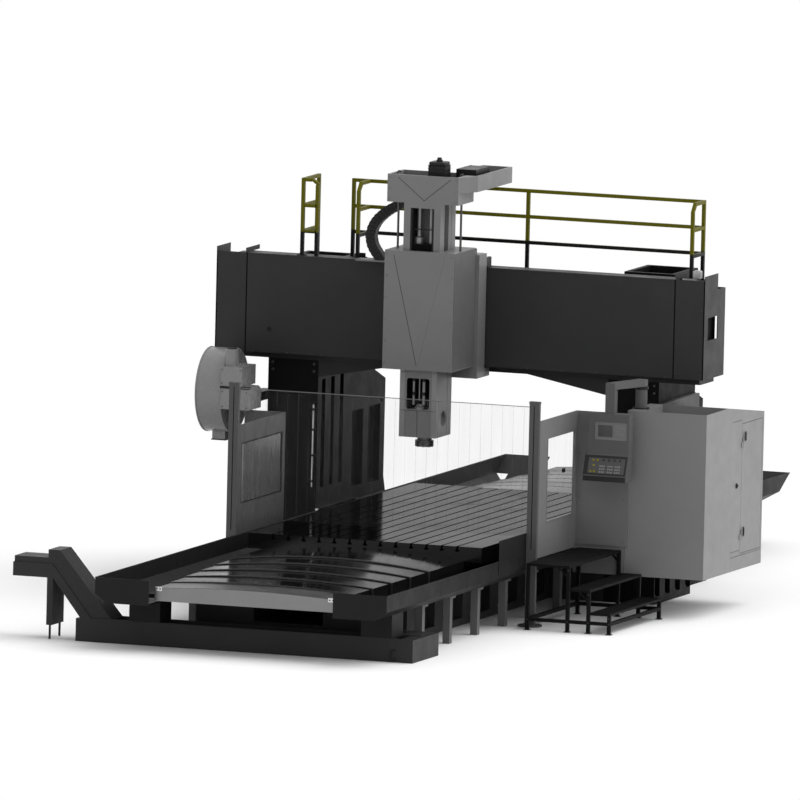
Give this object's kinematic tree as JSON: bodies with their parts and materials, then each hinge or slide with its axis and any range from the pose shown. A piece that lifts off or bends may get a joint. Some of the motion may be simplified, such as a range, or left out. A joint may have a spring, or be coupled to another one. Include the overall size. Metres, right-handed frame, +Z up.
{
  "type": "double column machining center",
  "caption": "Gantry milling machine: long T-slotted table under telescopic way covers, two columns, crossbeam with saddle and ram, chip troughs, guards and cabinet.",
  "frame": {"origin": "middle of the bed, on the floor", "axes": "+X along the crossbeam to the operator side, +Y along the bed away from the front end, +Z up"},
  "size_m": [6.885, 14.83, 5.412],
  "materials": {
    "cast_dark": "satin enamel on castings and sheet",
    "column_black": "satin enamel",
    "head_grey": "satin enamel",
    "table_iron": "scraped and ground",
    "way_cover_steel": "polished sheet",
    "bright_steel": "ground",
    "trough_sheet": "satin",
    "guard_paint": "satin",
    "guard_window": "clear sheet",
    "cabinet_paint": "fine texture",
    "mount_paint": "satin",
    "console_plastic": "matte",
    "chain_plastic": "matte",
    "motor_black": "semi-gloss",
    "platform_black": "semi-gloss",
    "railing_paint": "semi-gloss",
    "seal_rubber": "matte"
  },
  "bodies": {
    "machine": {"bed": "cast_dark", "left_trough": "trough_sheet", "right_trough": "trough_sheet", "trough_legs": "trough_sheet", "cover_supports": "cast_dark", "left_column": "column_black", "right_column": "column_black", "crossbeam": "cast_dark", "beam_guide_rails": "bright_steel", "crossbeam_cover": "cast_dark", "left_beam_end": "cast_dark", "right_beam_end": "cast_dark", "guard_posts": "guard_paint", "front_glass": "guard_window", "splash_plates": "guard_paint", "operator_guard": "guard_paint", "operator_guard_glass": "guard_window", "return_panel": "guard_paint", "left_guard_frame": "guard_paint", "left_guard_glass": "guard_window", "cabinet": "cabinet_paint", "cabinet_mount": "mount_paint", "chip_conveyor": "trough_sheet", "conveyor_lift": "trough_sheet", "magazine_drum": "head_grey", "magazine_bracket": "motor_black", "tool_changer": "head_grey", "console_post": "console_plastic", "step_platform": "platform_black", "deck_railing": "railing_paint", "ladder_guard": "railing_paint", "chip_seals": "seal_rubber", "front_cover_1": "way_cover_steel", "rear_cover_1": "way_cover_steel"},
    "table": {"table": "table_iron", "front_cover_6": "way_cover_steel", "rear_cover_6": "way_cover_steel"},
    "saddle": {"saddle": "head_grey", "cable_chain": "chain_plastic", "chain_tray": "head_grey"},
    "ram": {"ram": "head_grey", "yoke": "head_grey", "balance_rods": "bright_steel", "spindle_motor": "motor_black", "drive_box": "motor_black"},
    "spindle": {"spindle": "bright_steel"},
    "cabinet_door": {"cabinet_door": "cabinet_paint"},
    "console": {"console": "console_plastic", "console_arm": "console_plastic"},
    "front_cover_2": {"front_cover_2": "way_cover_steel"},
    "front_cover_3": {"front_cover_3": "way_cover_steel"},
    "front_cover_4": {"front_cover_4": "way_cover_steel"},
    "front_cover_5": {"front_cover_5": "way_cover_steel"},
    "rear_cover_2": {"rear_cover_2": "way_cover_steel"},
    "rear_cover_3": {"rear_cover_3": "way_cover_steel"},
    "rear_cover_4": {"rear_cover_4": "way_cover_steel"},
    "rear_cover_5": {"rear_cover_5": "way_cover_steel"}
  },
  "joints": [
    {"name": "table_slide", "type": "slide", "parent": "machine", "child": "table", "axis": [0, 1, 0], "range_m": [-2.7, 2.75]},
    {"name": "saddle_slide", "type": "slide", "parent": "machine", "child": "saddle", "axis": [1, 0, 0], "range_m": [-1.45, 1.75]},
    {"name": "ram_slide", "type": "slide", "parent": "saddle", "child": "ram", "axis": [0, 0, 1], "range_m": [-0.55, 0.45]},
    {"name": "spindle_spin", "type": "hinge", "parent": "ram", "child": "spindle", "pos_m": [-0.145, -0.52, 2], "axis": [0, 0, 1], "continuous": true},
    {"name": "cabinet_door_hinge", "type": "hinge", "parent": "machine", "child": "cabinet_door", "pos_m": [3.655, 0.495, 1.5], "axis": [0, 0, -1], "range_deg": [0, 110]},
    {"name": "console_swing", "type": "hinge", "parent": "machine", "child": "console", "pos_m": [2.7, -0.6, 2.85], "axis": [0, 0, 1], "range_deg": [0, 30]},
    {"name": "front_cover_2_slide", "type": "slide", "parent": "machine", "child": "front_cover_2", "axis": [0, 1, 0], "range_m": [-0.541, 0.551]},
    {"name": "front_cover_3_slide", "type": "slide", "parent": "machine", "child": "front_cover_3", "axis": [0, 1, 0], "range_m": [-1.081, 1.101]},
    {"name": "front_cover_4_slide", "type": "slide", "parent": "machine", "child": "front_cover_4", "axis": [0, 1, 0], "range_m": [-1.621, 1.651]},
    {"name": "front_cover_5_slide", "type": "slide", "parent": "machine", "child": "front_cover_5", "axis": [0, 1, 0], "range_m": [-2.161, 2.201]},
    {"name": "rear_cover_2_slide", "type": "slide", "parent": "machine", "child": "rear_cover_2", "axis": [0, 1, 0], "range_m": [-0.541, 0.551]},
    {"name": "rear_cover_3_slide", "type": "slide", "parent": "machine", "child": "rear_cover_3", "axis": [0, 1, 0], "range_m": [-1.081, 1.101]},
    {"name": "rear_cover_4_slide", "type": "slide", "parent": "machine", "child": "rear_cover_4", "axis": [0, 1, 0], "range_m": [-1.621, 1.651]},
    {"name": "rear_cover_5_slide", "type": "slide", "parent": "machine", "child": "rear_cover_5", "axis": [0, 1, 0], "range_m": [-2.161, 2.201]}
  ],
  "couplings": [
    {"joint": "front_cover_2_slide", "follows": "table_slide", "ratio": 0.2},
    {"joint": "front_cover_3_slide", "follows": "table_slide", "ratio": 0.4},
    {"joint": "front_cover_4_slide", "follows": "table_slide", "ratio": 0.6},
    {"joint": "front_cover_5_slide", "follows": "table_slide", "ratio": 0.8},
    {"joint": "rear_cover_2_slide", "follows": "table_slide", "ratio": 0.2},
    {"joint": "rear_cover_3_slide", "follows": "table_slide", "ratio": 0.4},
    {"joint": "rear_cover_4_slide", "follows": "table_slide", "ratio": 0.6},
    {"joint": "rear_cover_5_slide", "follows": "table_slide", "ratio": 0.8}
  ]
}
